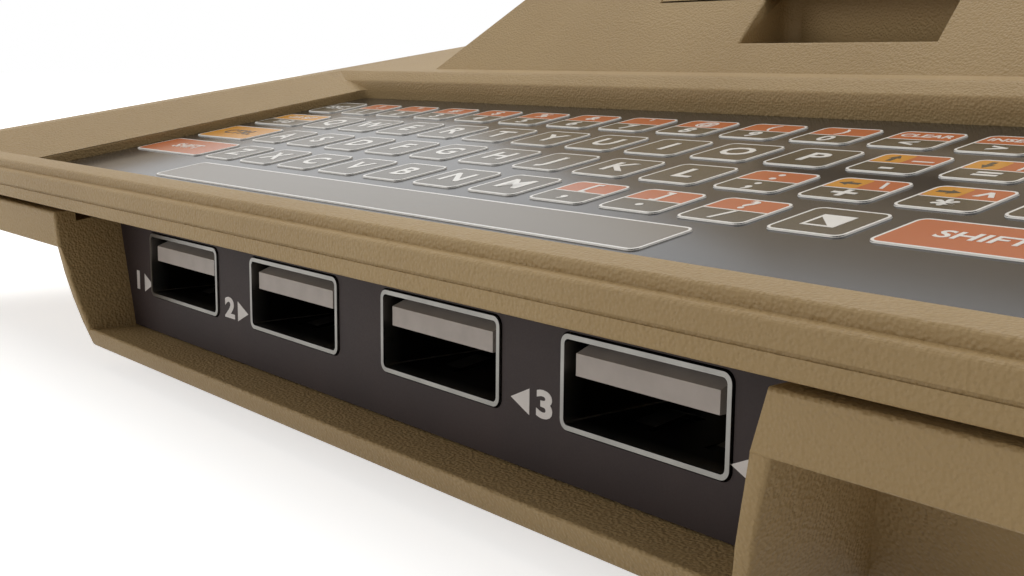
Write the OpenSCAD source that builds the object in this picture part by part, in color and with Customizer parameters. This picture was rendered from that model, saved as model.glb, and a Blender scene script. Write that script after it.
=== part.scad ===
// Half-size wedge home computer: two moulded shells, a flat touch keyboard in a sloping well,
// a four-socket jack box under the front lip, and a hump with a lift-up cartridge door.
// X runs to the right, Y to the back, Z up; the feet stand on Z = 0.

/* [Case] */
// Width of the case over its lip
body_w = 172.4; // [168:0.2:180]
// Depth of the case over its lip
body_d = 146; // [144:1:150]
// Height of the hump above the table
body_h = 57; // [55:0.5:60]
// Wall of the moulded shells
wall = 2; // [1.6:0.1:2.2]
// Height of the front edge of the rim above the table
rim_h = 18.48; // [18:0.02:19]
// Slope of the rim from front to back, in degrees
rim_tilt = 8.9; // [8.5:0.1:9.5]

/* [Lip and band] */
// How far the rim stands back from the lip's face
lip_step = 0.75; // [0.5:0.05:1.2]
// How far the lip's ledge lies below the rim
ledge_drop = 0.75; // [0.5:0.05:1]
// Height of the lip, from the rim to its lower edge
lip_h = 3.32; // [3:0.02:3.6]
// Depth of the lip's groove below the rim
groove_drop = 2.12; // [1.8:0.02:2.4]
// Width of the groove
groove_w = 0.2; // [0.1:0.02:0.3]
// Top of the lower shell's band below the rim
band_top = 3.95; // [3.7:0.05:4.2]
// Bottom of the lower shell's band below the rim
band_bottom = 7.16; // [6.8:0.02:7.6]

/* [Keyboard] */
// Slope of the keyboard panel, in degrees
key_tilt = 9.74; // [9.5:0.02:10]
// Distance from one key to the next, both ways
key_pitch = 7.871; // [7.6:0.001:7.9]
// Width of a key field, as a part of the pitch
key_w = 0.762; // [0.7:0.002:0.8]
// Depth of a key field, as a part of the pitch
key_d = 0.733; // [0.7:0.002:0.8]
// Width of the keyboard well
well_w = 149.3; // [148:0.1:150]
// How far the key fields are embossed
emboss = 0.1; // [0.05:0.05:0.2]

/* [Jacks] */
// Height of the middle of the front jacks
jack_z = 10; // [9.8:0.1:10.2]
// Distance from one front jack to the next
jack_pitch = 18.88; // [18:0.02:19.5]
// Outside width of a USB-A shell
usb_w = 13.14; // [13.14:0.01:13.2]
// Outside height of a USB-A shell
usb_h = 5.72; // [5.72:0.01:5.8]
// Thickness of the drawn steel of the shells
usb_t = 0.3; // [0.25:0.05:0.35]
// Half of the jack box's inside width at its top
box_half = 42.1; // [41.5:0.1:43]

/* [Hump and door] */
// Slope of the hump's front face, in degrees
hump_front = 50; // [48:1:54]
// Half of the hump's width where its front face starts
hump_half = 63.4; // [60:0.1:64]
// Width of the cartridge door
door_w = 58; // [50:1:60]
// Width of the finger notch
notch_w = 23; // [20:0.5:26]

/* [Power button] */
// Diameter of the button's cap
button_d = 8; // [7:0.1:9]

/* [Hidden] */
$fn = 48;

tan_color = "#A08A62";
panel_color = "#4A4644";
label_color = "#332A29";
steel_color = "#B9B7B2";
tongue_color = "#A79D98";
board_color = "#1F5A3A";
black_color = "#1C1C1C";

front_y = -body_d / 2;
rim_y = front_y + lip_step;

// Keyboard: origin of the panel's frame is the first key's column on the fourth row
panel_y = -48.045;
panel_z = 18.428;
esc_x = -70.205;
well_front = -15.17;
well_back = 30.6;
well_mid = (well_back + well_front) / 2;
well_wall = 1.1;
well_r = 1.2;
rear_wall = 2.3;
rear_slope = 1.8;
bevel_half = 82.7;
rim_flat = 2.12;
mould = 1.8;
tilt_step = key_tilt - rim_tilt;
panel_dy = (panel_y - rim_y) * cos(rim_tilt) + (panel_z - rim_h) * sin(rim_tilt);
panel_dz = (panel_z - rim_h) * cos(rim_tilt) - (panel_y - rim_y) * sin(rim_tilt);
// Height of the rim's plane above the panel, square to the panel, at slope distance v
function rim_above(v) = (-panel_dz - v * sin(tilt_step)) / cos(tilt_step);
bevel_near = rim_flat / cos(rim_tilt);
bevel_far = panel_dy + well_back * cos(tilt_step) - rim_above(well_back) * sin(tilt_step);
overlay_t = 0.5;
backing_t = 1.5;

// Jack box: the sockets' mouths, the label's face and the wall behind it
mouth_y = -66.4;
label_y = -66.25;
label_t = 0.4;
jack_wall = 1;
jack_back = label_y + label_t + jack_wall;
box_wall = 1.15;
box_taper = 0.3;
box_top = 14.45;
box_bottom = 2.2;
box_floor = 3.75;
box_front = -72.3;
box_round = 36;
ceiling_y = -68.8;

// Undercut hull
base_z = 1.6;
floor_z = base_z + wall;
hull_front = 7.4;
hull_side = 17;
hull_back = 2.6;
base_front = 12.5;
base_side = 25;
base_back = 3.6;

// Hump
hump_y = -14.6;
hump_z = rim_h + (hump_y - rim_y) * tan(rim_tilt);
hump_back = 56;
hump_foot = 67;
hump_edge = 1.6;
door_t = 1.8;
gap = 0.15;
door_z = 35.2;
notch_z = 30.45;
notch_back = -4.1;
notch_x = -2.4;
bay_floor = 36.5;
bay_ear = 40;
bay_screw_y = [1.4, 46];
pin_r = 0.8;
pin_fit = 0.05;
barrel_r = 1.7;
hinge_y = 50;
hinge_z = body_h - barrel_r;
lug_w = 4;

// Boards and what they carry
front_board_z = 5.5;
board_t = 1.6;
main_z = 8;
main_top = main_z + board_t;
main_x = [-46, 40];
main_y = [24, 67.2];
rear_mouth = 69;
rear_usb_x = 27;
usb_c_x = 8;
hdmi_x = -12;
button_x = -36;
button_z = 15;
socket_depth = 13.8;
chip_xy = [4, 44];
led_v = -9;
led_xy = [57.2, -55.4];
board_feet = [[-42, 28], [37, 28], [-42, 55], [37, 55]];
front_feet = [[-33, -48.5], [33, -48.5]];
case_screw_y = [8, 66, 128];
screw_head = 0.9;
case_screw_x = body_w / 2 - 5.2;
feet_x = 54;
feet_y = [-48, 56];

// ---------- shared shapes ----------
module rounded(w, d, r) {
  square([w - 2 * r, d], center = true);
  square([w, d - 2 * r], center = true);
  for (x = [-1, 1], y = [-1, 1])
    translate([x * (w / 2 - r), y * (d / 2 - r)]) circle(r);
}

module in_rim() {
  translate([0, rim_y, rim_h]) rotate([rim_tilt, 0, 0]) children();
}

module in_panel() {
  translate([0, panel_y, panel_z]) rotate([key_tilt, 0, 0]) children();
}

// Slab parallel to the rim, from low to high below it
module rim_slab(low, high) {
  in_rim() translate([-body_w, -30, -low]) cube([2 * body_w, 2 * body_d, low - high]);
}

module case_prism(inset) {
  linear_extrude(80) rounded(body_w - 2 * inset, body_d - 2 * inset, 4 - inset * 0.6);
}

module block(x, y, z) {
  translate([x[0], y[0], z[0]]) cube([x[1] - x[0], y[1] - y[0], z[1] - z[0]]);
}

// A bar along X with the given outline in Y and Z
module bar_x(width, points) {
  translate([-width / 2, 0, 0]) rotate([90, 0, 90]) linear_extrude(width) polygon(points);
}

// ---------- hump ----------
function hump_at(z, t) = hump_y + (z - hump_z + t / cos(hump_front)) / tan(hump_front);

// Solid hump, its faces moved in by t
module hump(t) {
  top = body_h - t;
  low = 20;
  foot_z = 40;
  back_slope = (body_h - foot_z) / (hump_foot - hump_back);
  back_t = t * sqrt(1 + pow(back_slope, 2)) / back_slope;
  side_t = t * sqrt(2);
  low_half = hump_half + hump_z - low - side_t;
  top_half = low_half - (top - low);
  intersection() {
    bar_x(2 * body_w, [[hump_at(low, t), low], [hump_at(top - hump_edge, t), top - hump_edge],
      [hump_at(top - hump_edge, t) + hump_edge * 1.9, top], [hump_back - back_t, top],
      [hump_foot - back_t, foot_z], [hump_foot - back_t, low]]);
    translate([0, body_d, 0]) rotate([90, 0, 0]) linear_extrude(2 * body_d)
      polygon([[-low_half, low], [low_half, low], [top_half, top - hump_edge],
        [top_half - hump_edge * 1.6, top], [hump_edge * 1.6 - top_half, top], [-top_half, top - hump_edge]]);
  }
}

// Space that the door takes out of the hump, side clearance c
module door_space(c) {
  half = door_w / 2 + c;
  block([-half, half], [-40, hinge_y], [door_z - c, body_h + 1]);
  translate([-half, hinge_y, hinge_z]) rotate([0, 90, 0]) cylinder(r = barrel_r + c, h = 2 * half);
  block([-half, half], [hinge_y, hinge_y + barrel_r + c], [hinge_z, body_h + 1]);
}

// Finger notch: its sides round into the back
module notch_cut() {
  half = notch_w / 2;
  round = 1.6;
  translate([notch_x, 0, notch_z]) linear_extrude(door_z + 0.6 - notch_z) {
    translate([-half, -18]) square([2 * half, notch_back - round + 18]);
    translate([round - half, -18]) square([notch_w - 2 * round, notch_back + 18]);
    for (x = [round - half, half - round]) translate([x, notch_back - round]) circle(round);
  }
}

// ---------- keyboard well ----------
// Bevel from the straight well up to the rim; grown and dropped, it is the moulding around both
module well_bevel(grow, drop) {
  w = well_w + 2 * grow;
  d = well_back - well_front + 2 * grow;
  top_d = bevel_far - bevel_near + 2 * grow;
  hull() {
    in_panel() translate([0, well_mid, well_wall - drop]) linear_extrude(0.05) rounded(w, d, well_r + grow, $fn = 32);
    in_rim() translate([0, (bevel_far + bevel_near) / 2, -drop]) linear_extrude(drop + 5)
      rounded(2 * (bevel_half + grow), top_d, well_r + grow, $fn = 32);
  }
}

module well_cut() {
  in_panel() translate([0, well_mid, -12]) linear_extrude(12 + well_wall + 0.3)
    rounded(well_w, well_back - well_front, well_r);
  well_bevel(0.03, 0);
}

// Short slope from the well's rear wall up to the rim, mitred into the bevels at both sides
module rear_bevel() {
  part = (rear_wall - well_wall) / (rim_above(well_back) - well_wall);
  half = well_w / 2 + (bevel_half - well_w / 2) * part - 0.2;
  hull() {
    in_panel() translate([-half, well_back - 4.6, rear_wall]) cube([2 * half, 4.6, 0.05]);
    in_rim() translate([0.2 - bevel_half, bevel_far - 3, 0])
      cube([2 * bevel_half - 0.4, 3 + rear_slope, 5]);
  }
}

// ---------- casings ----------
module upper_shell() color(tan_color) {
  difference() {
    union() {
      difference() {
        union() {
          intersection() { case_prism(0); rim_slab(lip_h, ledge_drop); }
          intersection() { case_prism(lip_step); rim_slab(ledge_drop + 0.01, 0); }
          intersection() { hump(0); rim_slab(0.5, -60); }
        }
        intersection() { case_prism(lip_step + wall); rim_slab(lip_h + 1, wall); }
        intersection() { hump(wall); rim_slab(wall + 1, -60); }
        difference() {
          intersection() { case_prism(-1); rim_slab(groove_drop + groove_w / 2, groove_drop - groove_w / 2); }
          case_prism(0.12);
        }
      }
      // moulding of the keyboard well, with its bevel
      intersection() {
        well_bevel(mould, 1.6);
        case_prism(lip_step + 0.4);
        rim_slab(12, 0.02);
      }
      keyboard_screw_places() translate([0, 0, -overlay_t]) cylinder(d = 3.2, h = 1.9);
      // pocket behind the finger notch
      intersection() {
        block([notch_x - notch_w / 2 - 2.4, notch_x + notch_w / 2 + 2.4], [-30, notch_back + mould],
          [notch_z - 1.6, door_z - 0.2]);
        hump(wall - 0.5);
      }
      // screw bosses down to the lower shell's shelf
      for (x = [-1, 1], y = case_screw_y)
        in_rim() translate([x * case_screw_x, y, wall - band_bottom]) cylinder(d = 5, h = band_bottom - wall - 1);
      // lugs that hold the hinge pin
      for (x = [-1, 1]) hinge_lug(x);
      // posts for the cartridge bay's screws
      intersection() {
        bay_screw_places() translate([0, 0, bay_ear]) cylinder(d = 5, h = 16);
        hump(0.5);
      }
    }
    well_cut();
    rear_bevel();
    door_space(gap);
    notch_cut();
    for (x = [-1, 1], y = case_screw_y)
      in_rim() translate([x * case_screw_x, y, wall - band_bottom - 1]) cylinder(d = 1.7, h = 4);
    bay_screw_places() translate([0, 0, 38]) cylinder(d = 1.7, h = 7);
    hinge_bore(pin_r + 0.005);
    keyboard_screw_places() translate([0, 0, -overlay_t - 1]) cylinder(d = 1.1, h = 2.5);
  }
}

module hinge_lug(side) {
  x0 = door_w / 2 + gap;
  intersection() {
    translate([side > 0 ? x0 : -x0 - lug_w, 0, 0])
      block([0, lug_w], [hinge_y - 2.6, hinge_y + 3], [hinge_z - 2.4, body_h]);
    hump(0.5);
  }
}

module hinge_bore(r) {
  half = door_w / 2 + 3.2;
  translate([-half, hinge_y, hinge_z]) rotate([0, 90, 0]) cylinder(r = r, h = 2 * half);
}

// Hull of the lower shell, its walls moved in by t
module hull_shape(t) {
  top_w = body_w - 2 * (hull_side + t);
  top_d = (body_d - hull_front - hull_back - 2 * t) / cos(rim_tilt);
  base_w = body_w - 2 * (base_side + t);
  base_d = body_d - base_front - base_back - 2 * t;
  hull() {
    in_rim() translate([0, (hull_front + t - lip_step) / cos(rim_tilt) + top_d / 2, -band_bottom + 0.3 + t])
      linear_extrude(0.01) rounded(top_w, top_d, 5, $fn = 32);
    translate([0, (base_front - base_back) / 2, base_z + t])
      linear_extrude(0.01) rounded(base_w, base_d, 7, $fn = 32);
  }
}

// Cross-section of the jack box, its sides moved in by t
module box_outline(t, bottom, top) {
  half = box_half + box_wall - t;
  polygon([[-half + (box_top - bottom) * box_taper, bottom], [half - (box_top - bottom) * box_taper, bottom],
    [half - (box_top - top) * box_taper, top], [-half + (box_top - top) * box_taper, top]]);
}

module box_bar(t, bottom, top, y0, y1) {
  translate([0, y1, 0]) rotate([90, 0, 0]) linear_extrude(y1 - y0) box_outline(t, bottom, top);
}

module box_front_round() {
  translate([-body_w / 2, box_front + box_round, box_top]) rotate([0, 90, 0])
    cylinder(r = box_round, h = body_w, $fn = 96);
}

// Rib on the lower shell that guides the upper shell's skirt, in lengths between the screws
module skirt_rib() {
  intersection() {
    union() {
      difference() {
        intersection() { case_prism(3.05); rim_slab(band_top + 1, band_top - 1.2); }
        case_prism(4);
      }
      difference() {
        intersection() { case_prism(2.4); rim_slab(band_bottom - 1.9, band_top + 0.2); }
        case_prism(4);
      }
    }
    union() {
      for (y = [13, 71]) in_rim() translate([-body_w, y, -20]) cube([2 * body_w, 49, 30]);
      block([-74, 74], [60, body_d], [0, 60]);
    }
  }
}

module lower_shell() color(tan_color) {
  difference() {
    union() {
      difference() {
        union() {
          intersection() { case_prism(0.6); rim_slab(band_bottom, band_top); }
          hull_shape(0);
          intersection() { box_bar(0, box_bottom, box_top, box_front - 1, -58); box_front_round(); }
        }
        intersection() { case_prism(0.6 + wall); rim_slab(band_bottom - wall, band_top - 2); }
        hull_shape(wall);
        // recess in front of the label, with its raised front rim
        difference() {
          box_bar(box_wall, box_floor, box_top - 0.55, box_front - 2, label_y + label_t);
          block([-60, 60], [box_front, box_front + 2.05], [box_floor - 1, box_floor + 0.12]);
        }
        // the recess is open above, up to the lip
        box_bar(box_wall, box_top - 0.56, 18, box_front - 2, ceiling_y);
        // chamber behind it for the sockets, open above
        box_bar(box_wall + 0.6, box_floor + 0.2, box_top - 1.6, jack_back, -57);
        block([-box_half + 1, box_half - 1], [jack_back, -50], [box_top - 1.61, 30]);
        block([-60, 60], [-78, jack_back + 0.01], [box_top, 30]);
      }
      skirt_rib();
      // wall above the label, up to the rim's underside
      block([1 - box_half, box_half - 1], [ceiling_y, ceiling_y + jack_wall], [box_top - 0.5, 15.5]);
      for (p = board_feet) translate([p[0], p[1], floor_z - 0.5]) cylinder(d = 5, h = main_z - floor_z + 0.5);
      for (p = front_feet) translate([p[0], p[1], floor_z - 0.5]) cylinder(d = 5, h = front_board_z - floor_z + 0.5);
      // stiffening ribs across the floor
      for (y = [-30, 0]) block([-60, 60], [y, y + 1.2], [floor_z - 0.5, floor_z + 1.6]);
    }
    // room for the keyboard's backing plate and its screws
    in_panel() translate([0, well_mid, -overlay_t - backing_t - 0.25]) linear_extrude(12)
      rounded(well_w + 7.2, well_back - well_front + 3.8, 2);
    // access to the keyboard's screws from below
    keyboard_screw_places() translate([0, 0, -8]) cylinder(d = 3, h = 7);
    for (i = [0 : 3]) jack_window(i, 0.25, -68, -60);
    for (x = [-1, 1], y = case_screw_y) in_rim() translate([x * case_screw_x, y, -band_bottom]) {
      translate([0, 0, -1]) cylinder(d = 2.4, h = 6);
      translate([0, 0, -1]) cylinder(d = 4.4, h = 1 + screw_head);
    }
    for (p = board_feet) translate([p[0], p[1], floor_z - 0.2]) cylinder(d = 1.7, h = 8);
    for (p = front_feet) translate([p[0], p[1], floor_z - 0.9]) cylinder(d = 1.7, h = 8);
    for (x = [-feet_x, feet_x], y = feet_y) translate([x, y, base_z - 1]) cylinder(d = 9.2, h = 1.8);
    // cooling slots under the boards
    for (i = [-5 : 5]) translate([i * 5, 13, 0]) linear_extrude(5) rounded(2, 14, 0.95);
    // rear windows
    rear_window(rear_usb_x, main_top + usb_h / 2, usb_w + 0.5, usb_h + 0.5, 0.8);
    rear_window(hdmi_x, main_top + 2.9, 15.6, 6.1, 0.8);
    rear_window(usb_c_x, main_top + 1.7, 9.6, 3.8, 1.6);
    translate([button_x, 60, button_z]) rotate([-90, 0, 0]) cylinder(d = button_d + 0.3, h = 20);
  }
}

module jack_window(i, c, y0, y1) {
  translate([jack_pitch * (i - 1.5), y1, jack_z]) rotate([90, 0, 0]) linear_extrude(y1 - y0)
    rounded(usb_w + 2 * c, usb_h + 2 * c, 0.6 + c);
}

module rear_window(x, z, w, h, r) {
  translate([x, 75, z]) rotate([90, 0, 0]) linear_extrude(12) rounded(w, h, r);
}

module jack_label() color(label_color) {
  difference() {
    box_bar(box_wall + 0.03, box_floor + 0.15, box_top - 0.6, label_y, label_y + label_t);
    for (i = [0 : 3]) jack_window(i, 0.12, -70, -60);
  }
}

// ---------- keyboard ----------
// One row of key fields: column of the first, how many, the row's number
module key_row(first, count, row) {
  for (k = [0 : count - 1]) key_field(first + k, row, key_w);
}

// To the next fiftieth of a millimetre, so that half of it is a whole hundredth
function even(size) = round(size * 50) / 50;

module key_field(column, row, width) {
  translate([esc_x + column * key_pitch, row * key_pitch])
    rounded(even(width * key_pitch), even(key_d * key_pitch), 0.7);
}

module key_fields() {
  left = -key_w / 2;
  right = 14 + key_w / 2;
  wide_key(left, 1.5, 2);
  wide_key(left, 1.75, 1);
  wide_key(left, 2.25, 0);
  key_row(0, 15, 3);
  key_row(1.5, 12, 2);
  key_row(1.75, 12, 1);
  key_row(2.25, 11, 0);
  for (p = [[13.5, 2], [13.75, 1], [13.25, 0]]) {
    start = p[0] - key_w / 2;
    key_field((start + right) / 2, p[1], right - start);
  }
  space_key(2.4, 11.38);
  for (i = [0 : 3]) key_field(16.4, 2.85 - i * 0.98, 1.9);
}

// A key from the left edge of the block to the key in column next
module wide_key(left, next, row) {
  end = next - key_w / 2 - (1 - key_w);
  key_field((left + end) / 2, row, end - left);
}

module space_key(from, to) {
  key_field((from + to) / 2, -0.975, to - from);
}

module panel_plate(z0, z1, grow) {
  translate([0, well_mid, z0]) linear_extrude(z1 - z0)
    rounded(well_w + 2 * grow, well_back - well_front + 2 * grow, well_r + grow);
}

module keyboard_overlay() color(panel_color) in_panel() {
  difference() {
    panel_plate(-overlay_t, 0, -0.08);
    translate([led_xy[0], led_v, -2]) cylinder(d = 2.6, h = 4);
  }
  translate([0, 0, -0.1]) linear_extrude(emboss + 0.1) key_fields();
}

module keyboard_screw_places() {
  in_panel() for (x = [-1, 1], y = [well_front + 4, well_mid, well_back - 4])
    translate([x * (well_w / 2 + 1.7), y, 0]) children();
}

module keyboard_backing() color(black_color) {
  low = -overlay_t - backing_t;
  difference() {
    in_panel() {
      translate([0, well_mid, low]) linear_extrude(backing_t)
        rounded(well_w + 6.6, well_back - well_front + 3.2, 2);
      for (x = [-54, -27, 0, 27, 54]) translate([x - 0.6, well_front + 6, low - 1.4])
        cube([1.2, well_back - well_front - 12, 1.5]);
    }
    keyboard_screw_places() translate([0, 0, -5]) cylinder(d = 1.3, h = 6);
    in_panel() translate([led_xy[0], led_v, -5]) cylinder(d = 2.7, h = 8);
  }
}

// ---------- USB-A sockets ----------
// A spring tab of the shell, bent inwards from the plane z = 0
module spring_tab(dip) {
  bar_x(1.7, [[2, 0], [3, 0], [6.2, -dip], [7.2, 0.25 - dip], [7.25, 0.45 - dip], [6.2, 0.25 - dip],
    [3.1, usb_t], [2, usb_t]]);
}

module usb_shell(legs) {
  w = usb_w;
  h = usb_h;
  inner_w = w - 2 * usb_t;
  inner_h = h - 2 * usb_t;
  difference() {
    translate([0, socket_depth, 0]) rotate([90, 0, 0]) linear_extrude(socket_depth) rounded(w, h, 0.62);
    translate([0, socket_depth - usb_t, 0]) rotate([90, 0, 0]) linear_extrude(socket_depth)
      rounded(inner_w, inner_h, 0.35);
    // windows around the spring tabs
    for (x = [-3.2, 3.2]) {
      block([x - 1.2, x + 1.2], [3, 7.6], [h / 2 - 1, h / 2 + 1]);
      block([x - 1.2, x + 1.2], [3, 7.6], [-h / 2 - 1, 1 - h / 2]);
    }
    for (s = [-1, 1]) block([s * w / 2 - 1, s * w / 2 + 1], [3.4, 7.2], [-0.6, 0.6]);
    block([-5, 5], [10.8, socket_depth - usb_t], [-h / 2 - 1, 1 - h / 2]);
  }
  for (x = [-3.2, 3.2]) {
    translate([x, 0, inner_h / 2]) spring_tab(0.12);
    translate([x, 0, -inner_h / 2]) mirror([0, 0, 1]) spring_tab(0.45);
  }
  for (s = [-1, 1], y = [2.6, 8.2])
    block(s > 0 ? [w / 2 - usb_t, w / 2] : [-w / 2, usb_t - w / 2], [y, y + 1.6], [-h / 2 - legs, -1]);
}

module usb_tongue() {
  back = 11.2;
  difference() {
    union() {
      bar_x(11.1, [[0.3, 0.43], [0.3, 1.75], [1.5, 2.2], [back + 0.1, 2.2], [back + 0.1, 0.43]]);
      block([-6.1, 6.1], [back, 13.45], [-2.4, 2.4]);
    }
    for (k = [-1.5 : 1 : 1.5]) block([k * 2.3 - 0.55, k * 2.3 + 0.55], [1.1, back + 0.5], [0.2, 0.6]);
  }
}

module usb_contacts(legs) {
  for (k = [-1.5 : 1 : 1.5]) translate([k * 2.3, 0, 0])
    bar_x(1, [[1.2, 0.35], [1.2, 0.6], [10.9, 0.6], [11.15, 0.45], [11.15, -usb_h / 2 - legs],
      [10.85, -usb_h / 2 - legs], [10.85, 0.35]]);
}

module at_jack(i) {
  translate([jack_pitch * (i - 2.5), mouth_y, jack_z]) children();
}

module at_rear_usb() {
  translate([rear_usb_x, rear_mouth, main_top + usb_h / 2]) rotate([0, 0, 180]) children();
}

// ---------- boards ----------
module leg_holes(top) {
  for (s = [-1, 1], y = [2.6, 8.2])
    block([s * (usb_w / 2 - usb_t / 2) - 0.4, s * (usb_w / 2 - usb_t / 2) + 0.4], [y - 0.3, y + 1.9], [top - 3, top + 1]);
  for (k = [-1.5 : 1 : 1.5]) block([k * 2.3 - 0.65, k * 2.3 + 0.65], [10.7, 11.3], [top - 3, top + 1]);
}

module front_board() color(board_color) {
  difference() {
    union() {
      block([-38, 38], [-64.3, -45.5], [front_board_z, front_board_z + board_t]);
      block([-38, 59], [-56.4, -45.5], [front_board_z, front_board_z + board_t]);
    }
    for (i = [1 : 4]) at_jack(i) leg_holes(-usb_h / 2);
    for (p = front_feet) translate([p[0], p[1], front_board_z - 1]) cylinder(d = 2.2, h = 4);
  }
}

module main_board() color(board_color) {
  difference() {
    block(main_x, main_y, [main_z, main_top]);
    at_rear_usb() leg_holes(-usb_h / 2);
    for (p = board_feet) translate([p[0], p[1], main_z - 1]) cylinder(d = 2.2, h = 4);
  }
}

module processor() color(black_color) {
  translate([chip_xy[0], chip_xy[1], main_top]) {
    translate([0, 0, 0.3]) linear_extrude(1.1) rounded(13, 13, 0.4);
    linear_extrude(0.31) rounded(11.6, 11.6, 0.4);
  }
}

module memory_chip() color(black_color) {
  translate([chip_xy[0] - 17, chip_xy[1], main_top]) linear_extrude(1) rounded(8, 13, 0.3);
}

module heat_sink() color("#2B2B2B") {
  translate([chip_xy[0], chip_xy[1], main_top + 1.4]) {
    linear_extrude(1.6) rounded(20, 20, 0.6);
    for (i = [-4 : 4]) block([i * 2.3 - 0.5, i * 2.3 + 0.5], [-9.6, 9.6], [1.5, 7]);
  }
}

module hdmi_outline(c) {
  w = 7.5 - c;
  polygon([[-w, 2.85 - c], [w, 2.85 - c], [w, -0.6 + c * 0.4], [w - 1.6, -2.75 + c], [1.6 - w, -2.75 + c], [-w, -0.6 + c * 0.4]]);
}

module at_hdmi() {
  translate([hdmi_x, rear_mouth, main_top + 2.85]) rotate([0, 0, 180]) children();
}

module hdmi_shell() color(steel_color) at_hdmi() difference() {
  union() {
    translate([0, 11, 0]) rotate([90, 0, 0]) linear_extrude(11) hdmi_outline(0);
    for (s = [-1, 1]) block(s > 0 ? [7.2, 7.5] : [-7.5, -7.2], [4, 6], [-2.85, 0]);
  }
  translate([0, 10.6, 0]) rotate([90, 0, 0]) linear_extrude(12) hdmi_outline(0.35);
}

module hdmi_tongue() color(black_color) at_hdmi() {
  block([-5.4, 5.4], [0.8, 9.1], [0.3, 1.5]);
  block([-5.4, 5.4], [9, 10.5], [-2.2, 2.4]);
}

module at_usb_c() {
  translate([usb_c_x, rear_mouth, main_top + 1.7]) rotate([0, 0, 180]) children();
}

module usb_c_shell() color(steel_color) at_usb_c() {
  difference() {
    translate([0, 7.3, 0]) rotate([90, 0, 0]) linear_extrude(7.3) rounded(8.94, 3.26, 1.6);
    translate([0, 7.0, 0]) rotate([90, 0, 0]) linear_extrude(8) rounded(8.34, 2.66, 1.3);
  }
  for (s = [-1, 1]) block([s * 3 - 0.6, s * 3 + 0.6], [3, 4.2], [-1.7, -1.5]);
}

module usb_c_tongue() color(black_color) at_usb_c() {
  block([-3.3, 3.3], [0.5, 6.6], [-0.35, 0.35]);
  block([-3.6, 3.6], [6.5, 6.99], [-1, 1]);
}

// ---------- power switch ----------
module power_button() color(tan_color) {
  translate([button_x, 0, button_z]) rotate([-90, 0, 0]) rotate_extrude()
    polygon([[0, 66.7], [button_d / 2 + 0.9, 66.7], [button_d / 2 + 0.9, 67.35], [button_d / 2, 67.35],
      [button_d / 2, 70.7], [button_d / 2 - 0.4, 71.1], [button_d / 2 - 1, 71.1], [button_d / 2 - 1.5, 70.8], [0, 70.7]]);
}

module switch_plunger() color("#C9C5BA") {
  translate([button_x, 60.6, button_z]) rotate([-90, 0, 0]) cylinder(d = 2.6, h = 6.1);
}

module switch_body() color(black_color) difference() {
  union() {
    block([button_x - 3.6, button_x + 3.6], [56.5, 63.5], [button_z - 3.6, button_z + 3.6]);
    for (x = [-2.6, 2.6], y = [57.5, 61.8])
      block([button_x + x - 0.4, button_x + x + 0.4], [y, y + 0.7], [main_top, button_z - 3.5]);
  }
  translate([button_x, 59.2, button_z]) rotate([-90, 0, 0]) cylinder(d = 2.72, h = 6);
}

// ---------- status light ----------
module status_led() color("#D8D2C0") {
  translate([led_xy[0], led_xy[1], front_board_z + board_t]) linear_extrude(0.8) rounded(3.2, 1.6, 0.2);
}

module light_pipe() color("#8E1F17") intersection() {
  in_panel() translate([led_xy[0], led_v, -20]) cylinder(d = 2.5, h = 20);
  translate([led_xy[0] - 10, -100, front_board_z + board_t + 1]) cube([20, 200, 60]);
}

// ---------- ribbon cable between the boards ----------
ribbon_w = 10;
ribbon_t = 0.3;
ribbon_top = front_board_z + board_t + 1.2;
ribbon_rear = main_top + 1.2;

module ribbon_cable() color("#D9D6CC") {
  low = 5.9;
  bar_x(ribbon_w, [[-48.2, ribbon_top], [-42, ribbon_top], [-39, low], [17, low], [20, ribbon_rear], [26.2, ribbon_rear],
    [26.2, ribbon_rear + ribbon_t], [19.85, ribbon_rear + ribbon_t], [16.85, low + ribbon_t], [-38.85, low + ribbon_t],
    [-41.85, ribbon_top + ribbon_t], [-48.2, ribbon_top + ribbon_t]]);
}

module ribbon_socket(x, y0, y1, z, mouth) {
  difference() {
    block([x - 7, x + 7], [y0, y1], [z, z + 2.4]);
    block([x - 5.2, x + 5.2], mouth, [z + 1.1, z + 1.6]);
  }
}

// ---------- hump door, its pin and the bay ----------
module cartridge_door() color(tan_color) difference() {
  union() {
    intersection() {
      difference() { hump(0); hump(door_t); }
      block([-door_w / 2, door_w / 2], [-40, hinge_y], [door_z, body_h + 1]);
    }
    translate([-door_w / 2, hinge_y, hinge_z]) rotate([0, 90, 0]) cylinder(r = barrel_r, h = door_w);
    // stiffening ribs under the lid
    for (x = [-18, 0, 18]) intersection() {
      block([x - 0.6, x + 0.6], [-0.5, hinge_y - 6], [door_z + 1, body_h]);
      difference() { hump(1); hump(door_t + 1.2); }
    }
  }
  hinge_bore(pin_r + pin_fit);
}

module hinge_pin() color(steel_color) {
  half = door_w / 2 + 3;
  translate([-half, hinge_y, hinge_z]) rotate([0, 90, 0]) cylinder(r = pin_r, h = 2 * half);
}

module bay_screw_places() {
  for (x = [-35, 35], y = bay_screw_y) translate([x, y, 0]) children();
}

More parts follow.
